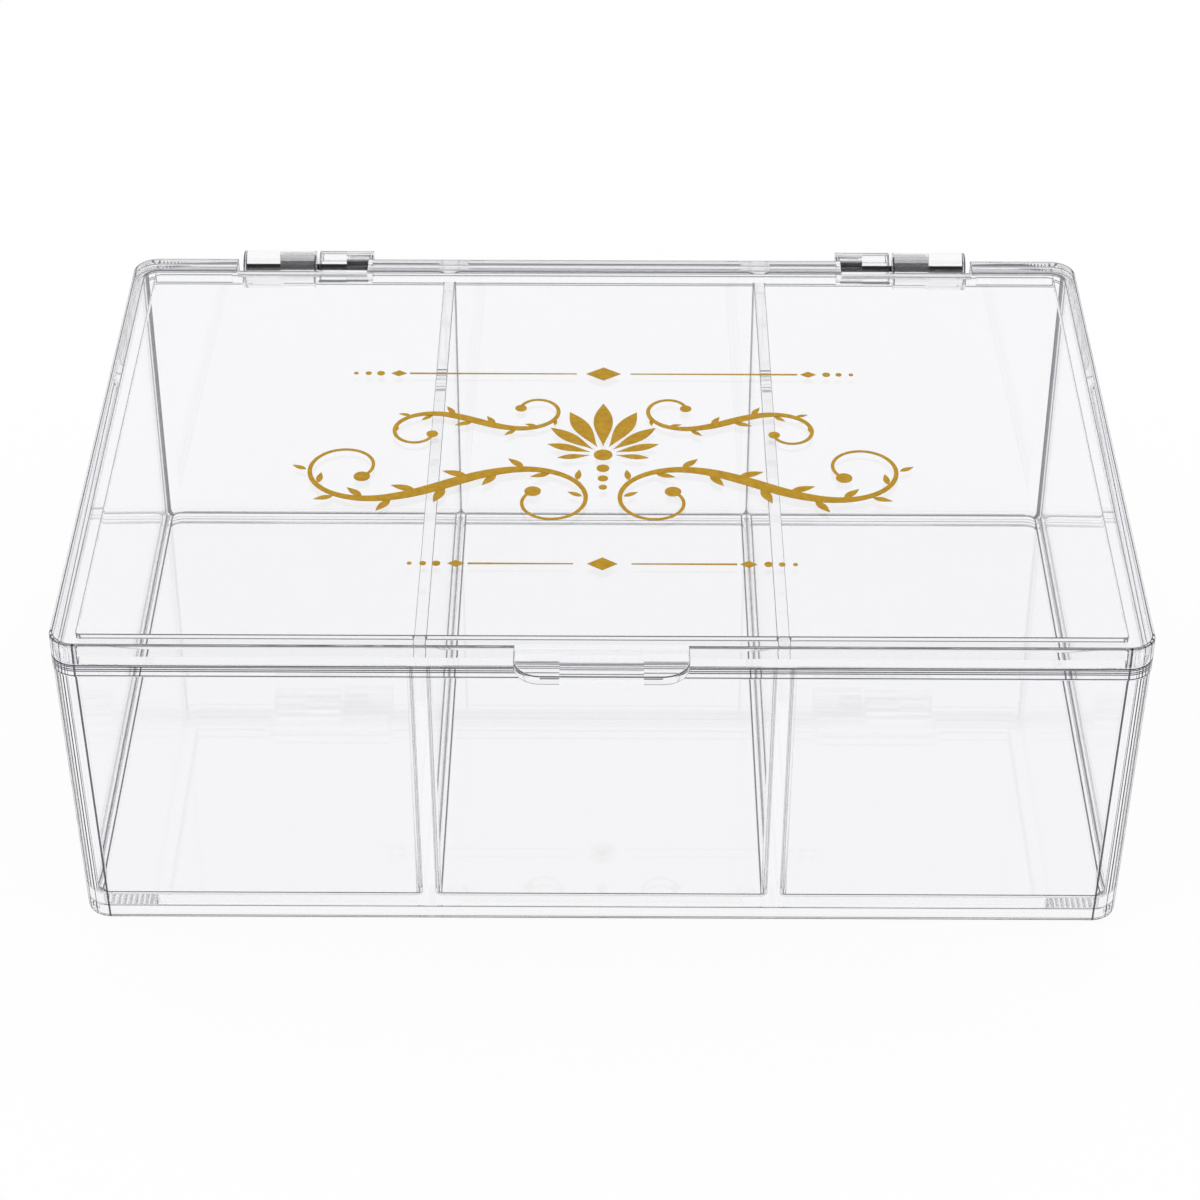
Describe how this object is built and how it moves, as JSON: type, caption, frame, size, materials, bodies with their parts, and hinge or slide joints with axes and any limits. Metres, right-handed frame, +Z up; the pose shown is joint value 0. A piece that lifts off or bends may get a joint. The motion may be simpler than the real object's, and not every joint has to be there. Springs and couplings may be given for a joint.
{
  "type": "compartment box",
  "caption": "Clear moulded box with long compartments side by side, dividers moulded in, and a hinged lid with a front finger tab.",
  "frame": {"origin": "bottom centre of the closed box's bounding box, on the table under the foot ring", "axes": "+X along the width to the right as seen from the front, -Y towards the finger tab at the front, +Z up"},
  "size_m": [0.24, 0.184, 0.082],
  "materials": {
    "clear_plastic": "clear polished moulding",
    "pin_steel": "bright drawn wire"
  },
  "bodies": {
    "tray": {"tray": "clear_plastic", "left_hinge_pin": "pin_steel", "right_hinge_pin": "pin_steel"},
    "lid": {"lid": "clear_plastic"}
  },
  "joints": [
    {"name": "lid_hinge", "type": "hinge", "parent": "tray", "child": "lid", "pos_m": [0, 0.0878, 0.0766], "axis": [-1, 0, 0], "range_deg": [0, 105]}
  ]
}
